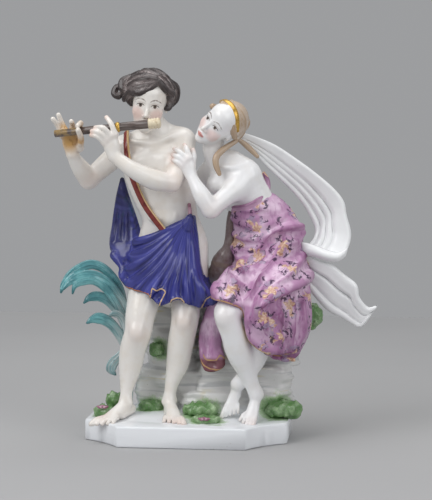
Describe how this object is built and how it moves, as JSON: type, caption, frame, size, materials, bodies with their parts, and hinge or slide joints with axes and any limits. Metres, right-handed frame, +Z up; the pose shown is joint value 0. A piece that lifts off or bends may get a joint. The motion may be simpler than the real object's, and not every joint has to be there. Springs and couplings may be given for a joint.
{
  "type": "porcelain figure group",
  "caption": "Painted porcelain group on a low plinth with cut corners: a standing youth plays a flute, and a seated woman leans on his shoulder.",
  "frame": {"origin": "centre of the plinth's underside", "axes": "+Z up; -Y towards the viewer of the front; +X to that viewer's right"},
  "size_m": [0.2112, 0.09, 0.247],
  "materials": {
    "porcelain": "gloss"
  },
  "bodies": {
    "root": {"figure_group": "porcelain"}
  },
  "joints": []
}
